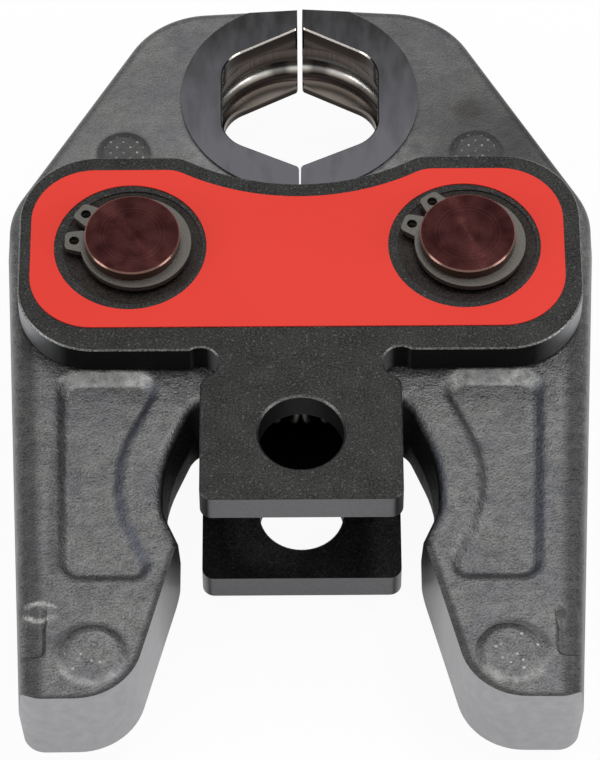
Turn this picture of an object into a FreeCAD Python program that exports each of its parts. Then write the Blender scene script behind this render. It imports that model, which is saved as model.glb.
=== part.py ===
import FreeCAD, Part
import math
import os

# Press fitting tool jaw, in millimetres.
# The origin is the centre of the lock-bolt bore, halfway through the thickness.
# X runs across the jaws, Y runs from the bolt bore to the press contour, Z faces the labelled side.

V = FreeCAD.Vector

# Side plates: two equal T-shaped plates carry both pivot pins and the lock bolt.
plate_gap = 18.8            # clear space between the plates, where the jaws swing
plate_t = 5.6
bolt_bore_d = 14.0
bolt_bore_chamfer = 0.35
plate_beyond_pins = 19.1    # each pin to the end of its arm
plate_above_pins = 18.8     # pin line to the upper edge
plate_below_pins = 20.9     # pin line to the lower edge of the arms
plate_corner_r = 13.0
dip_depth = 5.7             # hollow of the upper edge, under the press contour
dip_r = 38.5
dip_blend_r = 6.0
tongue_half_w = 16.5
tongue_end = 12.8           # bore centre to the end of the tongue
tongue_corner_r = 2.0
relief_r = 3.0              # round relief where the tongue leaves the arms
relief_drop = 2.4
relief_shoulder_r = 2.4
relief_lip_r = 0.9
plate_edge_break = 0.25

# Pivot pins, floating between two external circlips each.
pin_half_pitch = 27.9
pin_line = 37.2             # bolt bore to the line through both pins
pin_d = 16.0
pin_fit = 0.05              # radial clearance in the plates and the jaws
pin_float = 0.95            # end play, here all of it at the front
pin_stub = 2.0              # pin beyond its circlip
pin_chamfer = 0.25
spot_r = 11.6               # spot faces that the circlips bear on
spot_depth = 0.2

# External circlips for the pins.
clip_t = 1.0
clip_seat_gap = 0.05
clip_groove_d = 15.2
clip_groove_w = 1.1
clip_band = 2.2             # ring width opposite the lugs
clip_band_at_lugs = 1.1
clip_lug_reach = 3.7        # groove floor to the outer end of a lug
clip_lug_hole_d = 1.7
clip_lug_hole_at = 9.75     # pin centre to a lug hole
clip_lug_half_angle = 17.2  # from the ring's opening to a lug hole
clip_lug_end_half_w = 1.65
clip_lug_inner_half_w = 2.2
clip_lug_outer_half_w = 2.5
clip_lug_corner_r = 0.9
clip_opening = 1.1
clip_turn = {"left": 161.4, "right": 143.0}    # where each front ring's opening points

# Adhesive label on the front plate.
label_t = 0.2
label_shift = -0.45         # stuck on slightly to the left
label_in_ends = 2.45        # plate edge to label edge
label_in_top = 2.85
label_in_bottom = 4.6
label_corner_r = 10.5
label_hole_r = 12.75

# Jaws: forged halves, drawn closed, each with a machined collar round the press contour.
jaw_half_t = 8.6            # forged faces
collar_half_t = 9.15        # machined collar faces
boss_half_t = 9.35          # ground bosses that run between the plates
boss_r = 14.5
draft_in = 0.7              # how far each forged face lies inside the parting line
forged_edge_r = 1.9
machining_stock = 2.0       # forged extra that comes off the split, the cam face and the tail's end
tip_gap = {"left": 0.27, "right": 0.63}    # tip to split, as spring and pins leave each half

# Press contour: six-sided, its upper and lower corners lie on the split.
press_reach = 36.2          # pin line to the centre of the contour
press_half_w = 13.15
press_top_h = 14.7
press_low_h = 15.2
press_top_slope = 27.5      # degrees, of the two flats at the tip's side
press_low_slope = 25.7      # degrees, of the two flats at the pins' side
press_side_r = 6.0
press_split_r = 0.7         # rounds the flats into the split
lead_in = 0.25              # chamfer of both rims
turned_r = 15.0             # round bore between the two six-sided lands
turned_end_r = 12.5         # both ends of the turning tool's path, inside the flats
turned_top_z = 6.9
turned_high_z = 3.0
bead_high_z = 0.9           # groove for the fitting's sealing bead, between two heights
bead_low_z = -4.0
bead_r = 16.8               # press centre to the bottom of the groove
turned_low_z = -5.9
turned_bottom_z = -7.9
collar_r = 20.25
collar_in = 1.2             # the collar stays this far inside the nose's outline

# Outline of a jaw half: distances from the split, and from the bolt bore along Y.
nose_wall = 20.1            # centre of the press contour to the top of the nose, at the split
nose_fall = 1.36            # how much lower the top's line is at the shoulder
shoulder_x = 24.4
shoulder_r = 15.5
flank_x = 49.2
flank_above_pins = 12.25
flank_r = 14.0
tail_x = 44.9
tail_y = -45.8
tail_outer_r = 3.5
tail_inner_x = 28.2
tail_inner_r = 10.8
crest_x = 20.3
crest_y = -16.65
crest_r = 1.5
roller_x = 22.9             # deepest line of the hollow for the tool's rollers
roller_low_y = -10.5
roller_low_r = 8.0
roller_high_y = -2.0
roller_high_r = 25.0
throat_x = 17.5
throat_y = 10.9
throat_r = 5.0
seat_x = 8.7                # face that the return spring pushes on
seat_low_y = 10.4
seat_high_y = 27.0
seat_r = 1.5
split_low_y = 46.0

# Weight-saving pocket on both faces of each tail.
pocket_depth = 1.4
pocket_wall_run = 1.6
pocket_top_run = 2.4        # the wall at the pin's end slopes more gently
pocket_floor_r = 1.0
pocket_mouth_r = 1.5
pocket_top_y = 16.8
pocket_bottom_y = -24.0
pocket_outer_x = 40.6
pocket_outer_lean = 1.0     # the outer wall follows the flank's lean
pocket_top_inner_x = 21.4
pocket_waist_x = 31.6
pocket_waist_y = -4.8
pocket_waist_r = 23.0
pocket_flare_x = 24.6
pocket_flare_y = -20.3
pocket_corner_r = 4.0
pocket_flare_r = 2.8

# Round ejector pads and the clamping step on the flank.
pad_h = 0.5
pad_run = 1.4               # how far the pad's wall slopes inwards
pad_edge_r = 1.2
tail_pad_x = 33.6
tail_pad_y = -37.7
tail_pad_r = 5.4
nose_pad_x = 30.0
nose_pad_y = 61.5
nose_pad_r = 4.7
step_x = 41.1
step_low_y = -38.4
step_high_y = -28.0
step_depth = 0.7
step_run = 0.6
step_ramp = 4.4             # run of the wall towards the pin, a long ramp
step_corner_r = 1.6

# Return spring, a helical compression spring across the jaws below the pins.
spring_y = 16.0
spring_coil_r = 3.0         # to the middle of the wire
spring_wire_d = 1.2
spring_turns = 8
spring_pocket_d = 7.8
spring_pocket_depth = 4.5
spring_end_gap = 0.25

# How far a cutter runs past what it cuts, and how close two heights count as equal.
past = 1.0
near = 0.001

# Values worked out from the sizes above.
plate_in = plate_gap / 2
plate_out = plate_in + plate_t
plate_half_w = pin_half_pitch + plate_beyond_pins
plate_top_y = pin_line + plate_above_pins
plate_low_y = pin_line - plate_below_pins
dip_centre_y = plate_top_y - dip_depth + dip_r
press_y = pin_line + press_reach
nose_top_y = press_y + nose_wall
flank_y = pin_line + flank_above_pins
clip_inner_r = clip_groove_d / 2
rest_opening = {side: math.degrees(math.atan2(gap, nose_top_y - pin_line)) for side, gap in tip_gap.items()}
flank_run = (flank_x - tail_x) / (flank_y - tail_y)
cam_run = (tail_inner_x - crest_x) / (crest_y - tail_y)
hollow_run = (roller_x - crest_x) / (roller_low_y - crest_y)


def rounded_outline(corners, z=0.0, outset=0.0):
    """Closed wire through corners (x, y, radius), moved outwards by outset."""
    count = len(corners)
    points = [V(x, y, 0) for x, y, radius in corners]
    area = sum(points[i - 1].x * points[i].y - points[i].x * points[i - 1].y for i in range(count))
    side = 1.0 if area > 0 else -1.0
    along = []
    shifted = []
    for i in range(count):
        step = (points[(i + 1) % count] - points[i]).normalize()
        outward = V(step.y, -step.x, 0) * side
        along.append(step)
        shifted.append(points[i] + outward * outset)
    moved = []
    for i in range(count):
        before = along[i - 1]
        after = along[i]
        cross = before.x * after.y - before.y * after.x
        gap = shifted[i] - shifted[i - 1]
        reach = (gap.x * after.y - gap.y * after.x) / cross
        moved.append(shifted[i - 1] + before * reach)
    edges = []
    last = None
    first = None
    for i in range(count):
        before = along[i - 1]
        after = along[i]
        turn = before.getAngle(after)
        convex = side * (before.x * after.y - before.y * after.x) > 0
        radius = corners[i][2]
        if radius > 0:
            radius += outset if convex else -outset
        start = moved[i]
        end = moved[i]
        arc = None
        if radius > near:
            leg = radius * math.tan(turn / 2)
            start = moved[i] - before * leg
            end = moved[i] + after * leg
            inward = (after - before).normalize()
            middle = moved[i] + inward * (radius / math.cos(turn / 2) - radius)
            arc = Part.Arc(start, middle, end).toShape()
        if last is None:
            first = start
        else:
            edges.append(Part.makeLine(last, start))
        if arc is not None:
            edges.append(arc)
        last = end
    edges.append(Part.makeLine(last, first))
    wire = Part.Wire(edges)
    wire.translate(V(0, 0, z))
    return wire


def prism(corners, low, high):
    """Straight-sided solid between two heights."""
    return Part.Face(rounded_outline(corners, low)).extrude(V(0, 0, high - low))


def tapered(corners, low, low_outset, high, high_outset):
    """Solid whose outline grows or shrinks evenly between two heights."""
    wires = [rounded_outline(corners, low, low_outset), rounded_outline(corners, high, high_outset)]
    return Part.makeLoft(wires, True, True)


def cylinder(radius, low, high, x=0.0, y=0.0):
    return Part.makeCylinder(radius, high - low, V(x, y, low))


def edges_at(shape, test):
    """Edges whose ends and middle all pass the test."""
    found = []
    for edge in shape.Edges:
        middle = edge.valueAt((edge.FirstParameter + edge.LastParameter) / 2)
        if all(test(p) for p in [v.Point for v in edge.Vertexes] + [middle]):
            found.append(edge)
    return found


def upright_edges(shape, test):
    """Edges that stand along Z and whose foot passes the test."""
    found = []
    for edge in shape.Edges:
        foot = edge.Vertexes[0].Point
        head = edge.Vertexes[-1].Point
        if abs(head.z - foot.z) > near and foot.distanceToPoint(head) - abs(head.z - foot.z) < near and test(foot):
            found.append(edge)
    return found


def mirrored(shape):
    return shape.mirror(V(0, 0, 0), V(1, 0, 0))


def both_faces(shape):
    """The shape and its twin on the other side of the mid-plane."""
    return shape.fuse(shape.mirror(V(0, 0, 0), V(0, 0, 1)))


def save(name, shape):
    shape.exportStep("parts/" + name + ".step")


def plate_blank():
    """T-shaped plate lying on z = 0, with the dipped upper edge and the round reliefs."""
    w = plate_half_w
    top = plate_top_y
    low = plate_low_y
    r = plate_corner_r
    t = tongue_half_w
    end_r = tongue_corner_r
    arms = prism([(w, top, r), (-w, top, r), (-w, low, r), (w, low, r)], 0, plate_t)
    tongue = prism([(t, pin_line, 0), (-t, pin_line, 0), (-t, -tongue_end, end_r), (t, -tongue_end, end_r)], 0, plate_t)
    blank = arms.fuse(tongue)
    blank = blank.cut(cylinder(dip_r, -past, plate_t + past, 0, dip_centre_y))
    for side in (-1, 1):
        blank = blank.cut(cylinder(relief_r, -past, plate_t + past, side * t, low - relief_drop))
    blank = blank.removeSplitter()
    relief_end_y = low - relief_drop - relief_r
    dip_ends = upright_edges(blank, lambda p: abs(p.y - top) < near and abs(p.x) < w - r - near)
    blank = blank.makeFillet(dip_blend_r, dip_ends)
    shoulders = upright_edges(blank, lambda p: abs(abs(p.x) - t) < near and abs(p.y - relief_end_y) < near)
    blank = blank.makeFillet(relief_shoulder_r, shoulders)
    lips = upright_edges(blank, lambda p: abs(p.y - low) < near and t < abs(p.x) < t + relief_r)
    return blank.makeFillet(relief_lip_r, lips)


def side_plate():
    """One plate, outer face up at z = plate_t."""
    plate = plate_blank()
    plate = plate.makeChamfer(plate_edge_break, edges_at(plate, lambda p: abs(p.z - plate_t) < near))
    for side in (-1, 1):
        x = side * pin_half_pitch
        plate = plate.cut(cylinder(pin_d / 2 + pin_fit, -past, plate_t + past, x, pin_line))
        plate = plate.cut(cylinder(spot_r, plate_t - spot_depth, plate_t + past, x, pin_line))
    plate = plate.cut(cylinder(bolt_bore_d / 2, -past, plate_t + past))
    narrow = bolt_bore_d / 2
    wide = narrow + bolt_bore_chamfer
    plate = plate.cut(Part.makeCone(narrow, wide, bolt_bore_chamfer, V(0, 0, plate_t - bolt_bore_chamfer)))
    return plate.cut(Part.makeCone(wide, narrow, bolt_bore_chamfer))


def front_label():
    """Thin label that follows the plate's edge, with a round window for each pin."""
    w = plate_half_w - label_in_ends
    top = plate_top_y - label_in_top
    low = plate_low_y + label_in_bottom
    r = label_corner_r
    label = prism([(w, top, r), (-w, top, r), (-w, low, r), (w, low, r)], 0, label_t)
    label = label.cut(cylinder(dip_r + label_in_top, -past, label_t + past, -label_shift, dip_centre_y))
    dip_ends = upright_edges(label, lambda p: abs(p.y - top) < near and abs(p.x) < w - r - near)
    label = label.makeFillet(dip_blend_r, dip_ends)
    for side in (-1, 1):
        label = label.cut(cylinder(label_hole_r, -past, label_t + past, side * pin_half_pitch, pin_line))
    label.translate(V(label_shift, 0, plate_out))
    return label


def pivot_pin():
    """Turned pin with a circlip groove near each end, and the undersides of its two circlips."""
    back_clip = -(plate_out - spot_depth) - clip_seat_gap
    front_clip = plate_out - spot_depth + pin_float - clip_seat_gap
    low = back_clip - clip_t - pin_stub
    high = front_clip + clip_t + pin_stub
    pin = cylinder(pin_d / 2, low, high)
    pin = pin.makeChamfer(pin_chamfer, edges_at(pin, lambda p: abs(p.z - low) < near or abs(p.z - high) < near))
    spare = (clip_groove_w - clip_t) / 2
    for start in (back_clip - clip_t - spare, front_clip - spare):
        ring = cylinder(pin_d, start, start + clip_groove_w)
        pin = pin.cut(ring.cut(cylinder(clip_inner_r, start, start + clip_groove_w)))
    return pin, front_clip, back_clip - clip_t


def circlip():
    """External ring with two eared ends, opening towards +X, lying on z = 0."""
    outer_r = clip_inner_r + (clip_band + clip_band_at_lugs) / 2
    shift = (clip_band - clip_band_at_lugs) / 2
    ring = cylinder(outer_r, 0, clip_t, -shift, 0)
    reach = clip_inner_r + clip_lug_reach
    ear = [
        (reach, clip_lug_end_half_w, clip_lug_corner_r),
        (clip_inner_r, clip_lug_outer_half_w, 0),
        (clip_inner_r, -clip_lug_inner_half_w, 0),
        (reach, -clip_lug_end_half_w, clip_lug_corner_r),
    ]
    for side in (-1, 1):
        lug = prism(ear, 0, clip_t)
        lug = lug.cut(cylinder(clip_lug_hole_d / 2, -past, clip_t + past, clip_lug_hole_at, 0))
        if side < 0:
            lug = lug.mirror(V(0, 0, 0), V(0, 1, 0))
        lug.rotate(V(0, 0, 0), V(0, 0, 1), side * clip_lug_half_angle)
        ring = ring.fuse(lug)
    ring = ring.cut(cylinder(clip_inner_r, -past, clip_t + past))
    opening = Part.makeBox(reach, clip_opening, clip_t + 2 * past, V(0, -clip_opening / 2, -past))
    return ring.cut(opening).removeSplitter()


def jaw_outline(stock):
    """Corners of the left jaw's forged face, closed, with stock on the sides that are machined."""
    crest_drop = stock / (cam_run + hollow_run)
    split_rise = stock * (split_low_y - seat_high_y) / seat_x
    return [
        (stock, nose_top_y + stock * nose_fall / shoulder_x, 0),
        (-shoulder_x, nose_top_y - nose_fall, shoulder_r),
        (-flank_x, flank_y, flank_r),
        (-tail_x + flank_run * stock, tail_y - stock, tail_outer_r),
        (-tail_inner_x + stock * (1 - cam_run), tail_y - stock, tail_inner_r),
        (-crest_x + hollow_run * crest_drop, crest_y - crest_drop, crest_r),
        (-roller_x, roller_low_y, roller_low_r),
        (-roller_x, roller_high_y, roller_high_r),
        (-throat_x, throat_y, throat_r),
        (-seat_x, seat_low_y, seat_r),
        (-seat_x, seat_high_y, seat_r),
        (stock, split_low_y + split_rise, 0),
    ]


def machined_envelope():
    """Space left after the split, the tail's end and the cam face are machined square."""
    clear = draft_in + machining_stock / 4
    far_y = nose_top_y + machining_stock
    crest_rise = clear / (cam_run + hollow_run)
    hollow_y = crest_y + (roller_low_y - crest_y) * 3 / 4
    corners = [
        (0, far_y, 0),
        (-tail_x - clear - flank_run * (far_y - tail_y), far_y, 0),
        (-tail_x - clear, tail_y, tail_outer_r + clear),
        (-tail_inner_x, tail_y, tail_inner_r),
        (-crest_x + cam_run * crest_rise, crest_y + crest_rise, crest_r + clear),
        (-crest_x + clear - hollow_run * (hollow_y - crest_y), hollow_y, 0),
        (0, hollow_y, 0),
    ]
    return prism(corners, -plate_gap, plate_gap)


def press_corners():
    w = press_half_w
    top_y = press_y + press_top_h
    low_y = press_y - press_low_h
    high_side_y = top_y - w * math.tan(math.radians(press_top_slope))
    low_side_y = low_y + w * math.tan(math.radians(press_low_slope))
    return [
        (0, top_y, 0),
        (-w, high_side_y, press_side_r),
        (-w, low_side_y, press_side_r),
        (0, low_y, 0),
        (w, low_side_y, press_side_r),
        (w, high_side_y, press_side_r),
    ]


def turned_bore():
    """Round bore with the groove for the sealing bead, turned between the six-sided lands."""
    path = [
        (0, turned_top_z),
        (turned_end_r, turned_top_z),
        (turned_r, turned_high_z),
        (turned_r, bead_high_z),
        (bead_r, (bead_high_z + bead_low_z) / 2),
        (turned_r, bead_low_z),
        (turned_r, turned_low_z),
        (turned_end_r, turned_bottom_z),
        (0, turned_bottom_z),
    ]
    points = [V(r, press_y, z) for r, z in path]
    groove = Part.Arc(points[3], points[4], points[5]).toShape()
    before = Part.makePolygon(points[:4]).Edges
    after = Part.makePolygon(points[5:] + points[:1]).Edges
    section = Part.Face(Part.Wire(before + [groove] + after))
    return section.revolve(V(0, press_y, 0), V(0, 0, 1), 360)


def press_contour(body):
    """Cuts the press contour into a half, with its rounded split corners, rims and turned bore."""
    corners = press_corners()
    rims = both_faces(tapered(corners, collar_half_t - lead_in, 0, collar_half_t, lead_in))
    body = body.cut(prism(corners, -plate_gap, plate_gap)).cut(rims)
    ends = (press_y + press_top_h, press_y - press_low_h)
    split_corners = edges_at(body, lambda p: abs(p.x) < near and min(abs(p.y - end) for end in ends) < 2 * lead_in)
    body = body.makeFillet(press_split_r, split_corners)
    return body.cut(turned_bore())


def pocket_corners(top_y):
    return [
        (-pocket_top_inner_x, top_y, pocket_corner_r),
        (-pocket_outer_x, top_y, pocket_corner_r),
        (-pocket_outer_x + pocket_outer_lean, pocket_bottom_y, pocket_corner_r),
        (-pocket_flare_x, pocket_bottom_y, pocket_flare_r),
        (-pocket_flare_x, pocket_flare_y, pocket_flare_r),
        (-pocket_waist_x, pocket_waist_y, pocket_waist_r),
    ]


def step_corners(top_y):
    outside_x = flank_x + step_run + past
    return [
        (-step_x, top_y, step_corner_r),
        (-outside_x, top_y, 0),
        (-outside_x, step_low_y, 0),
        (-step_x, step_low_y, step_corner_r),
    ]


def recess_cutter(corners_at, top_y, depth, run, top_run):
    """Recess of the front face whose walls slope, more gently at the pin's end, and carry on past the face."""
    wider = top_run - run
    beyond = past / depth
    floor = rounded_outline(corners_at(top_y - wider), jaw_half_t - depth, -run)
    mouth = rounded_outline(corners_at(top_y + wider * beyond), jaw_half_t + past, run * beyond)
    return Part.makeLoft([floor, mouth], True, True)


def pocketed(body):
    """Both faces with their pocket, rounded at its floor and its mouth."""
    cutter = recess_cutter(pocket_corners, pocket_top_y, pocket_depth, pocket_wall_run, pocket_top_run)
    floor_z = jaw_half_t - pocket_depth
    cutter = cutter.makeFillet(pocket_floor_r, edges_at(cutter, lambda p: abs(p.z - floor_z) < near))
    cutter = both_faces(cutter)
    body = body.cut(cutter)
    mouth = edges_at(body, lambda p: abs(abs(p.z) - jaw_half_t) < near and cutter.isInside(p, near, True))
    return body.makeFillet(pocket_mouth_r, mouth)


def ejector_pad(x, y, radius):
    """Round pad with a sloping wall that stands proud of both forged faces."""
    pad = Part.makeCone(radius, radius - pad_run, pad_h, V(-x, y, jaw_half_t))
    pad = pad.makeFillet(pad_edge_r, edges_at(pad, lambda p: abs(p.z - jaw_half_t - pad_h) < near))
    return both_faces(pad.fuse(cylinder(radius, 0, jaw_half_t, -x, y)))


def forging():
    """Left half as it leaves the hammer: drafted, rounded, with its pads."""
    outline = jaw_outline(machining_stock)
    body = tapered(outline, 0, draft_in, jaw_half_t, 0)
    body = body.fuse(tapered(outline, -jaw_half_t, 0, 0, draft_in))
    body = body.makeFillet(forged_edge_r, edges_at(body, lambda p: abs(abs(p.z) - jaw_half_t) < near))
    body = pocketed(body)
    body = body.fuse(ejector_pad(tail_pad_x, tail_pad_y, tail_pad_r))
    return body.fuse(ejector_pad(nose_pad_x, nose_pad_y, nose_pad_r))


def left_jaw():
    """Left half, drawn closed: the forging with its collar, bosses and machined openings."""
    collar = cylinder(collar_r, -collar_half_t, collar_half_t, 0, press_y)
    inside = tapered(jaw_outline(machining_stock), -plate_gap, -collar_in, plate_gap, -collar_in)
    body = forging().fuse(collar.common(inside))
    body = body.cut(both_faces(recess_cutter(step_corners, step_high_y, step_depth, step_run, step_ramp)))
    body = body.fuse(cylinder(boss_r, -boss_half_t, boss_half_t, -pin_half_pitch, pin_line))
    body = body.common(machined_envelope())
    body = press_contour(body)
    body = body.cut(cylinder(pin_d / 2 + pin_fit, -plate_gap, plate_gap, -pin_half_pitch, pin_line))
    spring_pocket = Part.makeCylinder(spring_pocket_d / 2, spring_pocket_depth + seat_x, V(0, spring_y, 0), V(-1, 0, 0))
    return body.cut(spring_pocket).removeSplitter()


def return_spring():
    """Helix between the floors of the two spring pockets."""
    turned_in = {side: math.radians(angle) * (pin_line - spring_y) for side, angle in rest_opening.items()}
    reach = seat_x + spring_pocket_depth - spring_end_gap - spring_wire_d / 2
    length = 2 * reach - turned_in["left"] - turned_in["right"]
    helix = Part.makeHelix(length / spring_turns, length, spring_coil_r)
    section = Part.Wire(Part.makeCircle(spring_wire_d / 2, V(spring_coil_r, 0, 0), V(0, 1, 0)))
    spring = Part.Wire(helix).makePipeShell([section], True, True)
    spring.rotate(V(0, 0, 0), V(0, 1, 0), 90)
    spring.translate(V(turned_in["left"] - reach, spring_y, 0))
    return spring


os.makedirs("parts", exist_ok=True)

plate = side_plate()
front = plate.copy()
front.translate(V(0, 0, plate_in))
back = plate.mirror(V(0, 0, 0), V(0, 0, 1))
back.translate(V(0, 0, -plate_in))
save("front_side_plate", front)
save("back_side_plate", back)
save("front_label", front_label())

pin, front_clip_z, back_clip_z = pivot_pin()
clip = circlip()
for name, side in (("left", -1), ("right", 1)):
    centre = V(side * pin_half_pitch, pin_line, 0)
    own_pin = pin.copy()
    own_pin.translate(centre)
    save(name + "_pivot_pin", own_pin)
    for place, z in (("front", front_clip_z), ("back", back_clip_z)):
        own_clip = clip.copy()
        own_clip.rotate(V(0, 0, 0), V(0, 0, 1), clip_turn[name])
        own_clip.translate(centre + V(0, 0, z))
        save("circlip_" + place + "_" + name, own_clip)

left = left_jaw()
right = mirrored(left)
left.rotate(V(-pin_half_pitch, pin_line, 0), V(0, 0, 1), rest_opening["left"])
right.rotate(V(pin_half_pitch, pin_line, 0), V(0, 0, 1), -rest_opening["right"])
save("left_jaw", left)
save("right_jaw", right)
save("return_spring", return_spring())
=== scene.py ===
import math

import bmesh
import bpy
from mathutils import Matrix, Vector


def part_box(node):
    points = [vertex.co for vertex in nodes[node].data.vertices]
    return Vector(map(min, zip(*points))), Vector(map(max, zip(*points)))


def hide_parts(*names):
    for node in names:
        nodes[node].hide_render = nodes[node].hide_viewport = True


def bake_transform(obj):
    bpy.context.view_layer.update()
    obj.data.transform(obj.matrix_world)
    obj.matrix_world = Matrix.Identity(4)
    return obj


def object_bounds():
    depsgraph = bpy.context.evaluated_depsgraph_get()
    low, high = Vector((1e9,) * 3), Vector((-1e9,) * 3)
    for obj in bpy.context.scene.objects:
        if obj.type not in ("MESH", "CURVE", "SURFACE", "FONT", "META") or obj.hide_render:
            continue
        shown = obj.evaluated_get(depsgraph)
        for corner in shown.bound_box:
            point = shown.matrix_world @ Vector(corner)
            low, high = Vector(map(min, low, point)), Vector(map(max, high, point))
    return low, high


# Press fitting tool jaw, lying on the lower ends of its two pins with the label up.
# Sizes are in metres. X runs across the jaws, Y from the lock-bolt bore to the press contour,
# and Z up, with the origin in the middle of the lock-bolt bore.
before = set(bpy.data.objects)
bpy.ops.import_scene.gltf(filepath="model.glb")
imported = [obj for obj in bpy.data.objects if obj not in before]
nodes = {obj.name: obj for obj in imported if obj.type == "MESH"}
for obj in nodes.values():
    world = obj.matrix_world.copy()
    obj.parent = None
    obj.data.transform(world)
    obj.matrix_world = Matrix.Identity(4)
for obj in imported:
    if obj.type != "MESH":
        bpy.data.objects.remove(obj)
cad_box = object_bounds()
scene = bpy.context.scene


# Camera: three quarters of a metre from the jaw with a long lens, looking down on the labelled side
# from in front of the tails. The slight roll is the photograph's own.
camera_elevation = math.radians(55.821)
camera_roll = 0.00599
camera_place = (0, -0.39887, 0.61746)
lens = bpy.data.cameras.new("photo_camera")
lens.lens = 210.96
lens.sensor_width = 36
lens.shift_x = -0.00113
lens.clip_start = 0.01
camera = bpy.data.objects.new("photo_camera", lens)
scene.collection.objects.link(camera)
tilt = Matrix.Rotation(math.pi / 2 - camera_elevation, 4, "X")
roll = Matrix.Rotation(-camera_roll, 4, "Z")
camera.matrix_world = Matrix.Translation(camera_place) @ tilt @ roll
scene.camera = camera


# Black-oxide side plates: flat steel, ground, then dipped hot until it is blue-black, which leaves a fine
# matt grain.
# The sheared walls carry a painted reflection, pale at the sides, and painted shade darkens the bolt bore and
# the inner faces. The broken corners are rubbed bright, with painted highlight on the arms and the bore's
# lip.
def hex_colour(code):
    """Linear RGBA from an sRGB hex code."""
    values = [int(code[i:i + 2], 16) / 255 for i in (0, 2, 4)]
    return [v / 12.92 if v <= 0.04045 else ((v + 0.055) / 1.055) ** 2.4 for v in values] + [1.0]


def add_node(tree, kind, inputs=None, **settings):
    """Adds a node with its settings, its values and the sockets that feed it."""
    node = tree.nodes.new(kind)
    for name, value in settings.items():
        setattr(node, name, value)
    for socket, value in (inputs or {}).items():
        if isinstance(value, bpy.types.NodeSocket):
            tree.links.new(value, node.inputs[socket])
        else:
            node.inputs[socket].default_value = value
    return node


def new_material(name):
    """Empty material, its node tree and the object coordinates of its surface."""
    material = bpy.data.materials.new(name)
    material.use_nodes = True
    tree = material.node_tree
    tree.nodes.clear()
    place = add_node(tree, "ShaderNodeTexCoord").outputs["Object"]
    return material, tree, place


def finish_metal(tree, colour, roughness, normal, **extra):
    """Joins a metal's colour, roughness and surface relief to its output."""
    inputs = {"Base Color": colour, "Metallic": 1.0, "Roughness": roughness, "Normal": normal}
    inputs.update(extra)
    shader = add_node(tree, "ShaderNodeBsdfPrincipled", inputs)
    add_node(tree, "ShaderNodeOutputMaterial", {"Surface": shader.outputs["BSDF"]})


def dress(name, material):
    """Gives a node of the CAD model its material."""
    node = nodes[name]
    node.data.materials.clear()
    node.data.materials.append(material)


pin_x = 0.0279
pin_y = 0.0372
spot_r = 0.01162            # ground ring under each circlip
bolt_bore_r = 0.0072
bore_lip_r = 0.0078         # just outside the bore's broken corner
inner_face_z = 0.0095
tongue_y = -0.0105          # the tongue's milled end lies below this
arms_y = 0.012              # from here up the arms' rubbed corners are painted brighter than the tongue's, as highlight
black_oxide, tree, place = new_material("black_oxide_steel")
axes = add_node(tree, "ShaderNodeSeparateXYZ", {0: place})
side_x = add_node(tree, "ShaderNodeMath", {0: axes.outputs["X"]}, operation="ABSOLUTE")
from_x = add_node(tree, "ShaderNodeMath", {0: side_x.outputs[0], 1: pin_x}, operation="SUBTRACT")
from_y = add_node(tree, "ShaderNodeMath", {0: axes.outputs["Y"], 1: pin_y}, operation="SUBTRACT")
flat = add_node(tree, "ShaderNodeCombineXYZ", {"X": from_x.outputs[0], "Y": from_y.outputs[0]})
from_pin = add_node(tree, "ShaderNodeVectorMath", {0: flat.outputs[0]}, operation="LENGTH")
height_z = add_node(tree, "ShaderNodeMath", {0: axes.outputs["Z"]}, operation="ABSOLUTE")
facing = add_node(tree, "ShaderNodeSeparateXYZ",
                  {0: add_node(tree, "ShaderNodeNewGeometry").outputs["Normal"]})
lean = add_node(tree, "ShaderNodeMath", {0: facing.outputs["Z"]}, operation="ABSOLUTE")
sideways = add_node(tree, "ShaderNodeMath", {0: facing.outputs["X"]}, operation="ABSOLUTE")

grain_size = 0.0003         # oxide crystals, drawn about three times too coarse so that they show
blotch_size = 0.004
grain = add_node(tree, "ShaderNodeTexNoise", {"Vector": place, "Scale": 1 / grain_size, "Detail": 3.0,
                                              "Roughness": 0.6})
blotch = add_node(tree, "ShaderNodeTexNoise", {"Vector": place, "Scale": 1 / blotch_size, "Detail": 3.0})
level = add_node(tree, "ShaderNodeMath", {0: blotch.outputs["Fac"], 1: 0.2, 2: grain.outputs["Fac"]},
                 operation="MULTIPLY_ADD")
share = add_node(tree, "ShaderNodeMapRange", {"Value": level.outputs[0], "From Min": 0.42, "From Max": 0.8})
face_skin = add_node(tree, "ShaderNodeMix", {0: share.outputs[0], 6: hex_colour("1F1F1F"),
                                             7: hex_colour("4F4F4E")}, data_type="RGBA")
spot_share = add_node(tree, "ShaderNodeMapRange", {"Value": level.outputs[0], "From Min": 0.4,
                                                   "From Max": 0.85})
spot_skin = add_node(tree, "ShaderNodeMix", {0: spot_share.outputs[0], 6: hex_colour("231F1E"),
                                             7: hex_colour("484341")}, data_type="RGBA")
glint_size = 0.00042        # painted glints of single crystals that stand out one by one
glint = add_node(tree, "ShaderNodeTexNoise", {"Vector": place, "Scale": 1 / glint_size, "Detail": 1.0,
                                              "W": 2.0}, noise_dimensions="4D")
glint = add_node(tree, "ShaderNodeMapRange", {"Value": glint.outputs["Fac"], "From Min": 0.6,
                                              "From Max": 0.72, "To Max": 0.3})
face_skin = add_node(tree, "ShaderNodeMix", {0: glint.outputs[0], 6: face_skin.outputs[2],
                                             7: hex_colour("848482")}, data_type="RGBA")
in_spot = add_node(tree, "ShaderNodeMath", {0: from_pin.outputs["Value"], 1: spot_r}, operation="LESS_THAN")
skin = add_node(tree, "ShaderNodeMix", {0: in_spot.outputs[0], 6: face_skin.outputs[2],
                                        7: spot_skin.outputs[2]}, data_type="RGBA")
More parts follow.
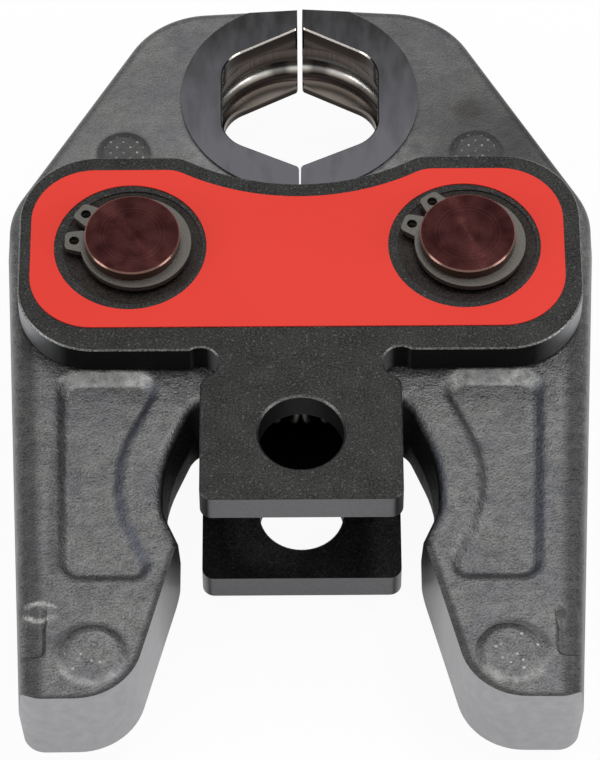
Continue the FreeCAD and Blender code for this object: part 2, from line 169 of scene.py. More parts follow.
# Painted shade darkens the inner faces that lie against the jaws.
inner_face_shade = add_node(tree, "ShaderNodeMapRange",
                      {"Value": height_z.outputs[0], "From Min": inner_face_z + 0.0001,
                       "From Max": inner_face_z, "To Max": 0.6})
skin = add_node(tree, "ShaderNodeMix", {0: inner_face_shade.outputs[0], 6: skin.outputs[2],
                                        7: hex_colour("0C0C0C")}, data_type="RGBA")

# Painted reflection on the walls: pale where a wall faces the sides and dark where it faces the ends.
wall_reflection = add_node(tree, "ShaderNodeMapRange", {"Value": sideways.outputs[0], "From Min": 0.35,
                                                   "From Max": 0.85})
wall_skin = add_node(tree, "ShaderNodeMix", {0: wall_reflection.outputs[0], 6: hex_colour("202020"),
                                             7: hex_colour("939496")}, data_type="RGBA")
# Painted reflection: the tongue's milled end, which faces the tail, is lighter.
milled_end_reflection = add_node(tree, "ShaderNodeMapRange", {"Value": facing.outputs["Y"], "From Min": -0.9,
                                                   "From Max": -0.995})
on_tongue = add_node(tree, "ShaderNodeMath", {0: axes.outputs["Y"], 1: tongue_y}, operation="LESS_THAN")
milled_end_reflection = add_node(tree, "ShaderNodeMath", {0: milled_end_reflection.outputs[0], 1: on_tongue.outputs[0]},
                      operation="MULTIPLY")
level_place = add_node(tree, "ShaderNodeCombineXYZ", {"X": axes.outputs["X"], "Y": axes.outputs["Y"]})
from_bolt = add_node(tree, "ShaderNodeVectorMath", {0: level_place.outputs[0]}, operation="LENGTH")
# Painted shade darkens the wall of the lock-bolt bore.
in_bore = add_node(tree, "ShaderNodeMath", {0: from_bolt.outputs["Value"], 1: bolt_bore_r},
                   operation="LESS_THAN")
for share, code in ((milled_end_reflection, "6E6E70"), (in_bore, "2E2E2E")):
    wall_skin = add_node(tree, "ShaderNodeMix", {0: share.outputs[0], 6: wall_skin.outputs[2],
                                                 7: hex_colour(code)}, data_type="RGBA")
on_wall = add_node(tree, "ShaderNodeMath", {0: lean.outputs[0], 1: 0.1}, operation="LESS_THAN")
skin = add_node(tree, "ShaderNodeMix", {0: on_wall.outputs[0], 6: skin.outputs[2], 7: wall_skin.outputs[2]},
                data_type="RGBA")
below_flat = add_node(tree, "ShaderNodeMath", {0: lean.outputs[0], 1: 0.9}, operation="LESS_THAN")
off_wall = add_node(tree, "ShaderNodeMath", {0: below_flat.outputs[0], 1: on_wall.outputs[0]},
                    operation="SUBTRACT")
rub = add_node(tree, "ShaderNodeMapRange", {"Value": grain.outputs["Fac"], "From Min": 0.3, "From Max": 0.7})
rubbed_and_highlit = add_node(tree, "ShaderNodeMath", {0: off_wall.outputs[0], 1: rub.outputs[0]}, operation="MULTIPLY")
on_arms = add_node(tree, "ShaderNodeMapRange", {"Value": axes.outputs["Y"], "From Min": arms_y,
                                                "From Max": arms_y + 0.006})
# Painted highlight on the bore's broken corner where it faces the tail.
bore_lip = add_node(tree, "ShaderNodeMath", {0: from_bolt.outputs["Value"], 1: bore_lip_r},
                    operation="LESS_THAN")
lip_side = add_node(tree, "ShaderNodeMapRange", {"Value": facing.outputs["Y"], "From Min": -0.2,
                                                 "From Max": -0.5, "To Max": 0.55})
bore_lip = add_node(tree, "ShaderNodeMath", {0: bore_lip.outputs[0], 1: lip_side.outputs[0]},
                    operation="MULTIPLY")
on_arms = add_node(tree, "ShaderNodeMath", {0: on_arms.outputs[0], 1: bore_lip.outputs[0]},
                   operation="MAXIMUM")
rub_and_highlight_skin = add_node(tree, "ShaderNodeMix", {0: on_arms.outputs[0], 6: hex_colour("565654"),
                                            7: hex_colour("A8A8A5")}, data_type="RGBA")
skin = add_node(tree, "ShaderNodeMix", {0: rubbed_and_highlit.outputs[0], 6: skin.outputs[2], 7: rub_and_highlight_skin.outputs[2]},
                data_type="RGBA")
sheen = add_node(tree, "ShaderNodeMapRange", {"Value": grain.outputs["Fac"], "From Min": 0.3, "From Max": 0.7,
                                              "To Min": 0.36, "To Max": 0.58})
relief = add_node(tree, "ShaderNodeBump", {"Height": grain.outputs["Fac"], "Strength": 0.5,
                                           "Distance": 0.00008})
finish_metal(tree, skin.outputs[2], sheen.outputs[0], relief.outputs[0])
dress("front_side_plate", black_oxide)
dress("back_side_plate", black_oxide)


# Label: a thin red vinyl film, die-cut to run inside the front plate's rim and round its two ground rings,
# and stuck on. It is satin, with a faint orange-peel surface.
red_film, tree, place = new_material("red_vinyl_film")
peel_size = 0.0012
fade_size = 0.02
peel = add_node(tree, "ShaderNodeTexNoise", {"Vector": place, "Scale": 1 / peel_size, "Detail": 2.0})
fade = add_node(tree, "ShaderNodeTexNoise", {"Vector": place, "Scale": 1 / fade_size, "Detail": 2.0})
colour = add_node(tree, "ShaderNodeMix", {0: fade.outputs["Fac"], 6: hex_colour("DB2C1D"),
                                          7: hex_colour("E23524")}, data_type="RGBA")
relief = add_node(tree, "ShaderNodeBump", {"Height": peel.outputs["Fac"], "Strength": 0.15,
                                           "Distance": 0.00002})
shader = add_node(tree, "ShaderNodeBsdfPrincipled", {"Base Color": colour.outputs[2], "Roughness": 0.6,
                                                     "IOR": 1.46, "Normal": relief.outputs[0]})
add_node(tree, "ShaderNodeOutputMaterial", {"Surface": shader.outputs["BSDF"]})
dress("front_label", red_film)


# Pivot pins: turned from round bar and browned in hardening, so that fine rings on the end faces
# spread the light into a streak. The broken corner and the side are copper-brown.
ring_pitch = 0.00035        # the tool's feed marks, drawn a little coarser than they are
stain_size = 0.003
speck_size = 0.0003
browned, tree, place = new_material("browned_turned_steel")
axes = add_node(tree, "ShaderNodeSeparateXYZ", {0: place})
side_x = add_node(tree, "ShaderNodeMath", {0: axes.outputs["X"]}, operation="ABSOLUTE")
from_x = add_node(tree, "ShaderNodeMath", {0: side_x.outputs[0], 1: pin_x}, operation="SUBTRACT")
from_y = add_node(tree, "ShaderNodeMath", {0: axes.outputs["Y"], 1: pin_y}, operation="SUBTRACT")
flat = add_node(tree, "ShaderNodeCombineXYZ", {"X": from_x.outputs[0], "Y": from_y.outputs[0]})
radius = add_node(tree, "ShaderNodeVectorMath", {0: flat.outputs[0]}, operation="LENGTH")
own_side = add_node(tree, "ShaderNodeMath", {0: axes.outputs["X"]}, operation="SIGN")
signed_x = add_node(tree, "ShaderNodeMath", {0: from_x.outputs[0], 1: own_side.outputs[0]},
                    operation="MULTIPLY")
outward = add_node(tree, "ShaderNodeCombineXYZ", {"X": signed_x.outputs[0], "Y": from_y.outputs[0]})
outward = add_node(tree, "ShaderNodeVectorMath", {0: outward.outputs[0]}, operation="NORMALIZE")
facing = add_node(tree, "ShaderNodeSeparateXYZ",
                  {0: add_node(tree, "ShaderNodeNewGeometry").outputs["True Normal"]})
lean = add_node(tree, "ShaderNodeMath", {0: facing.outputs["Z"]}, operation="ABSOLUTE")
on_end = add_node(tree, "ShaderNodeMath", {0: lean.outputs[0], 1: 0.9}, operation="GREATER_THAN")
on_wall = add_node(tree, "ShaderNodeMath", {0: lean.outputs[0], 1: 0.1}, operation="LESS_THAN")

turns = add_node(tree, "ShaderNodeMath", {0: radius.outputs["Value"], 1: 2 * math.pi / ring_pitch},
                 operation="MULTIPLY")
rings = add_node(tree, "ShaderNodeMath", {0: turns.outputs[0]}, operation="SINE")
ring_tone = add_node(tree, "ShaderNodeTexNoise", {"W": radius.outputs["Value"], "Scale": 1 / ring_pitch,
                                                  "Detail": 2.0}, noise_dimensions="1D")
stain = add_node(tree, "ShaderNodeTexNoise", {"Vector": place, "Scale": 1 / stain_size, "Detail": 4.0})
speck = add_node(tree, "ShaderNodeTexNoise", {"Vector": place, "Scale": 1 / speck_size, "Detail": 2.0})
tone = add_node(tree, "ShaderNodeMath", {0: ring_tone.outputs["Fac"], 1: 0.3, 2: stain.outputs["Fac"]},
                operation="MULTIPLY_ADD")
share = add_node(tree, "ShaderNodeMapRange", {"Value": tone.outputs[0], "From Min": 0.45, "From Max": 0.85})
end_skin = add_node(tree, "ShaderNodeMix", {0: share.outputs[0], 6: hex_colour("351A1A"),
                                            7: hex_colour("502E2D")}, data_type="RGBA")
edge_skin = add_node(tree, "ShaderNodeMix", {0: on_wall.outputs[0], 6: hex_colour("8C6C62"),
                                             7: hex_colour("5C4038")}, data_type="RGBA")
skin = add_node(tree, "ShaderNodeMix", {0: on_end.outputs[0], 6: edge_skin.outputs[2],
                                        7: end_skin.outputs[2]}, data_type="RGBA")
height = add_node(tree, "ShaderNodeMath", {0: rings.outputs[0], 1: on_end.outputs[0]}, operation="MULTIPLY")
rough = add_node(tree, "ShaderNodeMapRange", {"Value": speck.outputs["Fac"], "From Min": 0.3, "From Max": 0.7,
                                              "To Min": 0.24, "To Max": 0.36})
relief = add_node(tree, "ShaderNodeBump", {"Height": height.outputs[0], "Strength": 0.4,
                                           "Distance": 0.000008})
finish_metal(tree, skin.outputs[2], rough.outputs[0], relief.outputs[0],
             Anisotropic=0.85, Tangent=outward.outputs[0])
dress("left_pivot_pin", browned)
dress("right_pivot_pin", browned)


# Circlips: four flat rings with two ears each, sprung into the grooves of the pins to keep them in. They are
# stamped from spring steel and phosphated, which leaves a grey matt skin.
phosphated, tree, place = new_material("phosphated_spring_steel")
crystal_size = 0.00022
skin = add_node(tree, "ShaderNodeTexNoise", {"Vector": place, "Scale": 1 / crystal_size, "Detail": 4.0})
share = add_node(tree, "ShaderNodeMapRange", {"Value": skin.outputs["Fac"], "From Min": 0.35,
                                              "From Max": 0.65})
colour = add_node(tree, "ShaderNodeMix", {0: share.outputs[0], 6: hex_colour("615F5B"),
                                          7: hex_colour("7A7772")}, data_type="RGBA")
relief = add_node(tree, "ShaderNodeBump", {"Height": skin.outputs["Fac"], "Strength": 0.3,
                                           "Distance": 0.00003})
rough = add_node(tree, "ShaderNodeMapRange", {"Value": skin.outputs["Fac"], "To Min": 0.36, "To Max": 0.56})
finish_metal(tree, colour.outputs[2], rough.outputs[0], relief.outputs[0])
for name in ("circlip_front_left", "circlip_front_right", "circlip_back_left", "circlip_back_right"):
    dress(name, phosphated)


# Jaw halves: drop-forged steel, blasted, so the skin is gritty and mottled, with painted shade in the
# hollows.
# The split and the tail ends are milled, the collar is ground, with a painted reflection over it, and the
# press contour is turned and polished, its lands above and below the bead groove painted dark brown and the
# groove bright, as painted reflection and highlight.
press_y = 0.0734
collar_r = 0.0205
nose_root_y = 0.04          # the skin grows smoother from here to the nose
nose_foot_y = 0.045
nose_y = 0.055
forged, tree, place = new_material("blasted_forging")
axes = add_node(tree, "ShaderNodeSeparateXYZ", {0: place})
side_x = add_node(tree, "ShaderNodeMath", {0: axes.outputs["X"]}, operation="ABSOLUTE")
height_z = add_node(tree, "ShaderNodeMath", {0: axes.outputs["Z"]}, operation="ABSOLUTE")
from_y = add_node(tree, "ShaderNodeMath", {0: axes.outputs["Y"], 1: press_y}, operation="SUBTRACT")
flat = add_node(tree, "ShaderNodeCombineXYZ", {"X": axes.outputs["X"], "Y": from_y.outputs[0]})
from_press = add_node(tree, "ShaderNodeVectorMath", {0: flat.outputs[0]}, operation="LENGTH")
facing = add_node(tree, "ShaderNodeSeparateXYZ",
                  {0: add_node(tree, "ShaderNodeNewGeometry").outputs["True Normal"]})
lean = add_node(tree, "ShaderNodeMath", {0: facing.outputs["Z"]}, operation="ABSOLUTE")
sideways = add_node(tree, "ShaderNodeMath", {0: facing.outputs["X"]}, operation="ABSOLUTE")

grit_size = 0.00036         # blasting craters
mottle_size = 0.002
cloud_size = 0.009
smudge_size = 0.006
grit = add_node(tree, "ShaderNodeTexNoise", {"Vector": place, "Scale": 1 / grit_size, "Detail": 2.0,
                                             "Roughness": 0.7})
mottle = add_node(tree, "ShaderNodeTexNoise", {"Vector": place, "Scale": 1 / mottle_size, "Detail": 4.0,
                                               "Roughness": 0.6})
cloud = add_node(tree, "ShaderNodeTexNoise", {"Vector": place, "Scale": 1 / cloud_size, "Detail": 3.0})
shade = add_node(tree, "ShaderNodeMath", {0: grit.outputs["Fac"], 1: 2.2, 2: mottle.outputs["Fac"]},
                 operation="MULTIPLY_ADD")
shade = add_node(tree, "ShaderNodeMath", {0: cloud.outputs["Fac"], 1: 0.4, 2: shade.outputs[0]},
                 operation="MULTIPLY_ADD")
share = add_node(tree, "ShaderNodeMapRange", {"Value": shade.outputs[0], "From Min": 1.08, "From Max": 2.52})
calm = add_node(tree, "ShaderNodeMapRange", {"Value": axes.outputs["Y"], "From Min": nose_root_y,
                                             "From Max": nose_y, "To Max": 0.45})
share = add_node(tree, "ShaderNodeMix", {0: calm.outputs[0], 2: share.outputs[0], 3: 0.54})
forged_skin = add_node(tree, "ShaderNodeMix", {0: share.outputs[0], 6: hex_colour("3D3D3D"),
                                               7: hex_colour("9C9C9B")}, data_type="RGBA")
smudge = add_node(tree, "ShaderNodeTexNoise", {"Vector": place, "Scale": 1 / smudge_size, "Detail": 2.0,
                                               "W": 4.0}, noise_dimensions="4D")
smudged = add_node(tree, "ShaderNodeMapRange", {"Value": smudge.outputs["Fac"], "From Min": 0.45,
                                                "From Max": 0.75, "To Max": 0.4})


def draw_line(tree, mask, distance, line, faint, full, strength, reach):
    """Adds a soft line to a mask, where a distance is near the line's and as far as its reach goes."""
    off_line = add_node(tree, "ShaderNodeMath", {0: distance, 1: line}, operation="SUBTRACT")
    off_line = add_node(tree, "ShaderNodeMath", {0: off_line.outputs[0]}, operation="ABSOLUTE")
    stroke = add_node(tree, "ShaderNodeMapRange", {"Value": off_line.outputs[0], "From Min": faint,
                                                   "From Max": full, "To Max": strength},
                      interpolation_type="SMOOTHSTEP")
    for factor in reach:
        stroke = add_node(tree, "ShaderNodeMath", {0: stroke.outputs[0], 1: factor.outputs[0]},
                          operation="MULTIPLY")
    return add_node(tree, "ShaderNodeMath", {0: mask.outputs[0], 1: stroke.outputs[0]}, operation="MAXIMUM")


# Grime and painted shade: painted shade lies beside the flank's rounding, at the walls of the step and the
# left pocket, round the tail's milled end, at the tail pad's upper rim and in a dent of the right half's
# step; grime lies over the nose pad and soot on the right nose.
flank_lean = 0.04514        # the flank runs in by this much for each length along the tail
flank_foot_x = 0.0449
flank_band = 0.0024         # from the flank to the middle of its band of painted shade, and half the band's width
tail_y = -0.0458
up_tail = add_node(tree, "ShaderNodeMath", {0: axes.outputs["Y"], 1: tail_y}, operation="SUBTRACT")
flank_line = add_node(tree, "ShaderNodeMath", {0: up_tail.outputs[0], 1: flank_lean, 2: flank_foot_x},
                      operation="MULTIPLY_ADD")
from_flank = add_node(tree, "ShaderNodeMath", {0: flank_line.outputs[0], 1: side_x.outputs[0]},
                      operation="SUBTRACT")
along_flank = add_node(tree, "ShaderNodeMapRange", {"Value": axes.outputs["Y"], "From Min": nose_foot_y,
                                                    "From Max": 0.035})

cam_way = (0.9652, 0.2616)  # square to the milled face that the tool's roller runs on
cam_foot_x = 0.0282
cam_crest_y = -0.0166       # where the painted shade round the milled end runs out
corner_r = 0.0108
corner_x = 0.03646
corner_y = tail_y + corner_r
in_from_cam = add_node(tree, "ShaderNodeMath", {0: side_x.outputs[0], 1: cam_foot_x}, operation="SUBTRACT")
to_cam = add_node(tree, "ShaderNodeMath", {0: up_tail.outputs[0], 1: cam_way[1]}, operation="MULTIPLY")
to_cam = add_node(tree, "ShaderNodeMath", {0: in_from_cam.outputs[0], 1: cam_way[0], 2: to_cam.outputs[0]},
                  operation="MULTIPLY_ADD")
to_end = add_node(tree, "ShaderNodeMath", {0: up_tail.outputs[0], 1: to_cam.outputs[0]}, operation="MINIMUM")
corner_off_x = add_node(tree, "ShaderNodeMath", {0: corner_x, 1: side_x.outputs[0]}, operation="SUBTRACT")
corner_off_y = add_node(tree, "ShaderNodeMath", {0: corner_y, 1: axes.outputs["Y"]}, operation="SUBTRACT")
corner_off = add_node(tree, "ShaderNodeCombineXYZ",
                      {"X": corner_off_x.outputs[0], "Y": corner_off_y.outputs[0]})
from_corner = add_node(tree, "ShaderNodeVectorMath", {0: corner_off.outputs[0]}, operation="LENGTH")
to_round = add_node(tree, "ShaderNodeMath", {0: corner_r, 1: from_corner.outputs["Value"]},
                    operation="SUBTRACT")
past_cam = add_node(tree, "ShaderNodeVectorMath", {0: corner_off.outputs[0],
                                                   1: (-cam_way[1], cam_way[0], 0.0)},
                    operation="DOT_PRODUCT")
past_cam = add_node(tree, "ShaderNodeMath", {0: past_cam.outputs["Value"], 1: 0.0}, operation="GREATER_THAN")
past_end = add_node(tree, "ShaderNodeMath", {0: corner_off_x.outputs[0], 1: 0.0}, operation="GREATER_THAN")
round_corner = add_node(tree, "ShaderNodeMath", {0: past_cam.outputs[0], 1: past_end.outputs[0]},
                        operation="MULTIPLY")
to_end = add_node(tree, "ShaderNodeMix", {0: round_corner.outputs[0], 2: to_end.outputs[0],
                                          3: to_round.outputs[0]})
# Painted shade along the edge of the tail's milled end and its cam face.
end_edge_shade = add_node(tree, "ShaderNodeMapRange", {"Value": to_end.outputs[0], "From Min": 0.0009,
                                             "From Max": 0.0002, "To Max": 0.65})
on_tail = add_node(tree, "ShaderNodeMath", {0: axes.outputs["Y"], 1: cam_crest_y}, operation="LESS_THAN")
grime_and_shade = add_node(tree, "ShaderNodeMath", {0: end_edge_shade.outputs[0], 1: on_tail.outputs[0]}, operation="MULTIPLY")

level_place = add_node(tree, "ShaderNodeCombineXYZ", {"X": axes.outputs["X"], "Y": axes.outputs["Y"]})
spots = []
for middle, faint_r, full_r, strength, edge in (
    ((0.034, 0.062, 0.0), 0.02, 0.004, 0.4, "LINEAR"),                # soot on the right nose
    ((0.0415, -0.0305, 0.0), 0.0018, 0.0005, 0.7, "SMOOTHSTEP"),      # painted shade of a dent in the right half's step
    ((0.0291, 0.0707, 0.0), 0.0036, 0.0012, 0.45, "SMOOTHSTEP"),      # brown stain on the right nose
):
    to_spot = add_node(tree, "ShaderNodeVectorMath", {0: level_place.outputs[0], 1: middle},
                       operation="DISTANCE")
    spots.append(add_node(tree, "ShaderNodeMapRange", {"Value": to_spot.outputs["Value"], "From Min": faint_r,
                                                       "From Max": full_r, "To Max": strength},
                          interpolation_type=edge))
soot, step_dent_shade, stained = spots
right_half = add_node(tree, "ShaderNodeMath", {0: axes.outputs["X"], 1: 0.0}, operation="GREATER_THAN")
soot = add_node(tree, "ShaderNodeMath", {0: soot.outputs[0], 1: right_half.outputs[0], 2: 0.2},
                operation="MULTIPLY_ADD")
on_nose = add_node(tree, "ShaderNodeMapRange", {"Value": axes.outputs["Y"], "From Min": nose_foot_y,
                                                "From Max": nose_y})
for factor in (right_half, on_nose):
    soot = add_node(tree, "ShaderNodeMath", {0: soot.outputs[0], 1: factor.outputs[0]}, operation="MULTIPLY")

nose_pad = (0.030, 0.0615, 0.0)
nose_pad_r = 0.0052
tail_pad = (0.0336, -0.0377, 0.0)
tail_pad_r = 0.0053
pad_off = add_node(tree, "ShaderNodeCombineXYZ", {"X": side_x.outputs[0], "Y": axes.outputs["Y"]})
from_nose_pad = add_node(tree, "ShaderNodeVectorMath", {0: pad_off.outputs[0], 1: nose_pad},
                         operation="DISTANCE")
from_tail_pad = add_node(tree, "ShaderNodeVectorMath", {0: pad_off.outputs[0], 1: tail_pad},
                         operation="DISTANCE")
pad_grime = add_node(tree, "ShaderNodeMapRange", {"Value": from_nose_pad.outputs["Value"],
                                                  "From Min": nose_pad_r, "From Max": nose_pad_r - 0.0008,
                                                  "To Max": 0.55})
for mark in (soot, step_dent_shade, pad_grime):
    grime_and_shade = add_node(tree, "ShaderNodeMath", {0: grime_and_shade.outputs[0], 1: mark.outputs[0]}, operation="MAXIMUM")

step_wall_x = 0.0413
step_foot_y = -0.0385
step_span = (-0.0338, 0.0046)           # each span is a wall's middle and its half length
pocket_wall_x = -0.0398
pocket_wall_span = (-0.0042, 0.0187)
upper_part = add_node(tree, "ShaderNodeMapRange",
                      {"Value": axes.outputs["Y"], "From Min": tail_pad[1] - 0.001,
                       "From Max": tail_pad[1] + 0.002})
by_step = add_node(tree, "ShaderNodeMath", {0: axes.outputs["Y"], 1: step_span[0], 2: step_span[1]},
                   operation="COMPARE")
outside = add_node(tree, "ShaderNodeMath", {0: side_x.outputs[0], 1: step_wall_x + 0.0004},
                   operation="GREATER_THAN")
by_wall = add_node(tree, "ShaderNodeMath", {0: axes.outputs["Y"], 1: pocket_wall_span[0],
                                            2: pocket_wall_span[1]}, operation="COMPARE")
# Painted shade in soft lines: by the flank's rounding, at the tail pad's upper rim, along the step's wall and
# foot, and by the left pocket's outer wall.
grime_and_shade = draw_line(tree, grime_and_shade, from_flank.outputs[0], flank_band, flank_band, 0.0004, 0.62, (along_flank,))
grime_and_shade = draw_line(tree, grime_and_shade, from_tail_pad.outputs["Value"], tail_pad_r, 0.0013, 0.0002, 0.5, (upper_part,))
grime_and_shade = draw_line(tree, grime_and_shade, side_x.outputs[0], step_wall_x, 0.0009, 0.0001, 0.5, (by_step,))
grime_and_shade = draw_line(tree, grime_and_shade, axes.outputs["Y"], step_foot_y, 0.0008, 0.0001, 0.45, (outside,))
grime_and_shade = draw_line(tree, grime_and_shade, axes.outputs["X"], pocket_wall_x, 0.0018, 0.0003, 0.35, (by_wall,))
flat_top = add_node(tree, "ShaderNodeMapRange", {"Value": lean.outputs[0], "From Min": 0.4, "From Max": 0.7})
grime_and_shade = add_node(tree, "ShaderNodeMath", {0: grime_and_shade.outputs[0], 1: flat_top.outputs[0]}, operation="MULTIPLY")

pocket_middle = (0.032, -0.004)
pocket_half = (0.0105, 0.0225)
# Painted reflection: a blue tint on the pocket walls that face left.
blue_reflection = add_node(tree, "ShaderNodeMapRange", {"Value": facing.outputs["X"], "From Min": -0.1,
                                                  "From Max": -0.5, "To Max": 0.32})
pocket_span = add_node(tree, "ShaderNodeMath", {0: side_x.outputs[0], 1: pocket_middle[0], 2: pocket_half[0]},
                       operation="COMPARE")
pocket_reach = add_node(tree, "ShaderNodeMath", {0: axes.outputs["Y"], 1: pocket_middle[1],
                                                 2: pocket_half[1]}, operation="COMPARE")
for factor in (pocket_span, pocket_reach, flat_top):
    blue_reflection = add_node(tree, "ShaderNodeMath", {0: blue_reflection.outputs[0], 1: factor.outputs[0]},
                         operation="MULTIPLY")

# Bright wear and painted highlight: painted highlight on the pocket's end wall and the tail pad's lower rim,
# wear on the scuffed step of the left half and the marks on the pads, and a lighter patch round the foot of
# the collar.
end_wall_span = (0.0155, 0.0035)
end_wall_half = 0.0095
left_highlight = (-0.0262, 0.0157, 0.0)
right_highlight = (0.0372, 0.0157, 0.0)
# Painted highlight on the pocket's end wall where it faces the tail, brightest near one point on each half.
wear_and_highlight = add_node(tree, "ShaderNodeMapRange", {"Value": facing.outputs["Y"], "From Min": -0.05,
                                             "From Max": -0.45})
to_highlight = add_node(tree, "ShaderNodeMix", {0: right_half.outputs[0], 4: left_highlight, 5: right_highlight},
                   data_type="VECTOR")
to_highlight = add_node(tree, "ShaderNodeVectorMath", {0: level_place.outputs[0], 1: to_highlight.outputs[1]},
                   operation="DISTANCE")
highlight_share = add_node(tree, "ShaderNodeMapRange", {"Value": to_highlight.outputs["Value"], "From Min": 0.0045,
                                                   "From Max": 0.0005, "To Min": 0.38, "To Max": 0.9})
by_end_wall = add_node(tree, "ShaderNodeMath", {0: axes.outputs["Y"], 1: end_wall_span[0],
                                                2: end_wall_span[1]}, operation="COMPARE")
in_pocket = add_node(tree, "ShaderNodeMath", {0: side_x.outputs[0], 1: pocket_middle[0], 2: end_wall_half},
                     operation="COMPARE")
soft = add_node(tree, "ShaderNodeMapRange", {"Value": mottle.outputs["Fac"], "From Min": 0.35,
                                             "From Max": 0.62, "To Min": 0.25})
for factor in (highlight_share, by_end_wall, in_pocket, soft):
    wear_and_highlight = add_node(tree, "ShaderNodeMath", {0: wear_and_highlight.outputs[0], 1: factor.outputs[0]}, operation="MULTIPLY")

scuff_x = 0.0419
scuff_y = -0.0298
scuff_r = 0.0015
scuff_oval = 0.65           # its length along the tail, as a share of its width
scuff_off_x = add_node(tree, "ShaderNodeMath", {0: side_x.outputs[0], 1: scuff_x}, operation="SUBTRACT")
scuff_off_x = add_node(tree, "ShaderNodeMath", {0: scuff_off_x.outputs[0], 1: scuff_oval},
                       operation="MULTIPLY")
scuff_off_y = add_node(tree, "ShaderNodeMath", {0: axes.outputs["Y"], 1: scuff_y}, operation="SUBTRACT")
scuff_off = add_node(tree, "ShaderNodeCombineXYZ", {"X": scuff_off_x.outputs[0],
                                                    "Y": scuff_off_y.outputs[0]})
from_scuff = add_node(tree, "ShaderNodeVectorMath", {0: scuff_off.outputs[0]}, operation="LENGTH")
across = add_node(tree, "ShaderNodeMath", {0: scuff_off_y.outputs[0]}, operation="ABSOLUTE")
across = add_node(tree, "ShaderNodeMapRange", {"Value": across.outputs[0], "From Min": 0.0003,
                                               "From Max": 0.001})
left_half = add_node(tree, "ShaderNodeMath", {0: axes.outputs["X"], 1: 0.0}, operation="LESS_THAN")
scuff_grit = add_node(tree, "ShaderNodeMapRange", {"Value": grit.outputs["Fac"], "From Min": 0.3,
                                                   "From Max": 0.6, "To Min": 0.3})
lower_part = add_node(tree, "ShaderNodeMapRange",
                      {"Value": axes.outputs["Y"], "From Min": tail_pad[1] - 0.0012,
                       "From Max": tail_pad[1] - 0.0038})
wear_and_highlight = draw_line(tree, wear_and_highlight, from_scuff.outputs["Value"], scuff_r, 0.0007, 0.0001, 0.8,
                 (across, left_half, soft, scuff_grit))
# Painted highlight on the tail pad's lower rim.
wear_and_highlight = draw_line(tree, wear_and_highlight, from_tail_pad.outputs["Value"], tail_pad_r, 0.001, 0.0002, 0.4,
                 (lower_part, soft))

by_collar = add_node(tree, "ShaderNodeMapRange", {"Value": from_press.outputs["Value"],
                                                  "From Min": collar_r + 0.007,
                                                  "From Max": collar_r + 0.0005, "To Max": 0.3})
foot = add_node(tree, "ShaderNodeMapRange", {"Value": axes.outputs["Y"], "From Min": 0.068,
                                             "From Max": 0.056})
spatter_pitch = 0.0011
spatter_r = 0.0042
spatter = add_node(tree, "ShaderNodeTexVoronoi", {"Vector": place, "Scale": 1 / spatter_pitch,
                                                  "Randomness": 1.0})
few = add_node(tree, "ShaderNodeSeparateColor", {0: spatter.outputs["Color"]})
few = add_node(tree, "ShaderNodeMath", {0: few.outputs["Red"], 1: 0.62}, operation="GREATER_THAN")
spatter = add_node(tree, "ShaderNodeMapRange", {"Value": spatter.outputs["Distance"], "From Min": 0.3,
                                                "From Max": 0.1, "To Max": 0.85})
on_tail_pad = add_node(tree, "ShaderNodeMath", {0: from_tail_pad.outputs["Value"], 1: spatter_r},
                       operation="LESS_THAN")
dot_pitch = 0.0016
dotted_r = 0.0036
from_pad = add_node(tree, "ShaderNodeVectorMath", {0: pad_off.outputs[0], 1: nose_pad},
                    operation="SUBTRACT")
turned = add_node(tree, "ShaderNodeMapping", {"Vector": from_pad.outputs[0],
                                              "Rotation": (0.0, 0.0, math.pi / 4)})
dots = add_node(tree, "ShaderNodeTexVoronoi", {"Vector": turned.outputs[0], "Scale": 1 / dot_pitch,
                                               "Randomness": 0.1})
dots = add_node(tree, "ShaderNodeMapRange", {"Value": dots.outputs["Distance"], "From Min": 0.17,
                                             "From Max": 0.07, "To Max": 0.75})
on_nose_pad = add_node(tree, "ShaderNodeMath", {0: from_nose_pad.outputs["Value"], 1: dotted_r},
                       operation="LESS_THAN")
for mark, factors in ((by_collar, (foot, soft)), (spatter, (few, on_tail_pad)), (dots, (on_nose_pad, soft))):
    for factor in factors:
        mark = add_node(tree, "ShaderNodeMath", {0: mark.outputs[0], 1: factor.outputs[0]},
                        operation="MULTIPLY")
    wear_and_highlight = add_node(tree, "ShaderNodeMath", {0: wear_and_highlight.outputs[0], 1: mark.outputs[0]}, operation="MAXIMUM")

hollow_x = 0.0225           # painted shade fills the hollow on this side of the tail
hollow_shade = add_node(tree, "ShaderNodeMapRange", {"Value": side_x.outputs[0], "From Min": hollow_x + 0.004,
                                               "From Max": hollow_x})
steep = add_node(tree, "ShaderNodeMapRange", {"Value": lean.outputs[0], "From Min": 0.85, "From Max": 0.4})
behind_nose = add_node(tree, "ShaderNodeMath", {0: axes.outputs["Y"], 1: nose_foot_y},
                       operation="LESS_THAN")
for factor in (steep, behind_nose):
    hollow_shade = add_node(tree, "ShaderNodeMath", {0: hollow_shade.outputs[0], 1: factor.outputs[0]},
                      operation="MULTIPLY")
for share, code in ((smudged, "5C5D68"), (grime_and_shade, "2C2C2C"), (stained, "3E3A36"), (blue_reflection, "626880"),
                    (wear_and_highlight, "C0C0BD"), (hollow_shade, "2A2A2C")):
    forged_skin = add_node(tree, "ShaderNodeMix", {0: share.outputs[0], 6: forged_skin.outputs[2],
                                                   7: hex_colour(code)}, data_type="RGBA")

